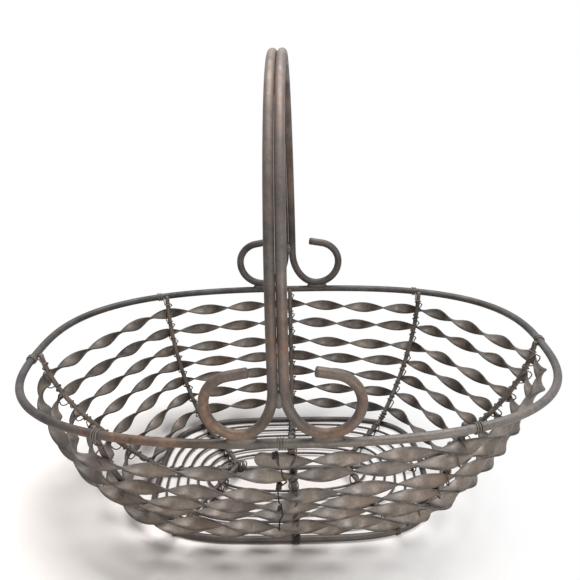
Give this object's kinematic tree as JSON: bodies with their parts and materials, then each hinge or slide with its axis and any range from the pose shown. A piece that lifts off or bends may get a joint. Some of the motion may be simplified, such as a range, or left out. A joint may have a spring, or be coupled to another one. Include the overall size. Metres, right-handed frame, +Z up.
{
  "type": "wire egg basket",
  "caption": "Oval wire egg basket: a twisted flat strip wound round rod ribs, an open ringed base and a fixed handle of paired rods standing on open scrolls.",
  "frame": {"origin": "on the ground under the middle of the basket", "axes": "+X along the basket to the right in the picture, +Y to its back, +Z up"},
  "size_m": [0.361, 0.2518, 0.3023],
  "materials": {
    "rod_iron": "dark bare iron rod, brown patina with rust bloom",
    "handle_iron": "dark bare iron rod, brown patina with rust bloom",
    "strip_iron": "dark bare iron strip, worn faces and dark edges",
    "wire_iron": "dark bare binding wire",
    "weld_iron": "rough grey weld metal"
  },
  "bodies": {
    "root": {"base_outer_ring": "rod_iron", "rim": "rod_iron", "wall_strip": "strip_iron", "handle_rod_left": "handle_iron", "handle_rod_right": "handle_iron", "base_thin_ring_1": "wire_iron", "base_thin_ring_2": "wire_iron", "base_thin_ring_3": "wire_iron", "base_thin_ring_4": "wire_iron", "base_thin_ring_5": "wire_iron", "base_thin_ring_6": "wire_iron", "frame_wire_long": "rod_iron", "frame_wire_cross": "rod_iron", "frame_wire_left": "rod_iron", "frame_wire_right": "rod_iron", "binding_wire_right": "wire_iron", "binding_wire_back_right": "wire_iron", "binding_wire_back": "wire_iron", "binding_wire_back_left": "wire_iron", "binding_wire_left": "wire_iron", "binding_wire_front_left": "wire_iron", "binding_wire_front": "wire_iron", "binding_wire_front_right": "wire_iron", "handle_weld_front": "weld_iron", "handle_weld_back": "weld_iron", "scroll_weld_front_left": "weld_iron", "scroll_weld_front_right": "weld_iron", "scroll_weld_back_left": "weld_iron", "scroll_weld_back_right": "weld_iron"}
  },
  "joints": []
}
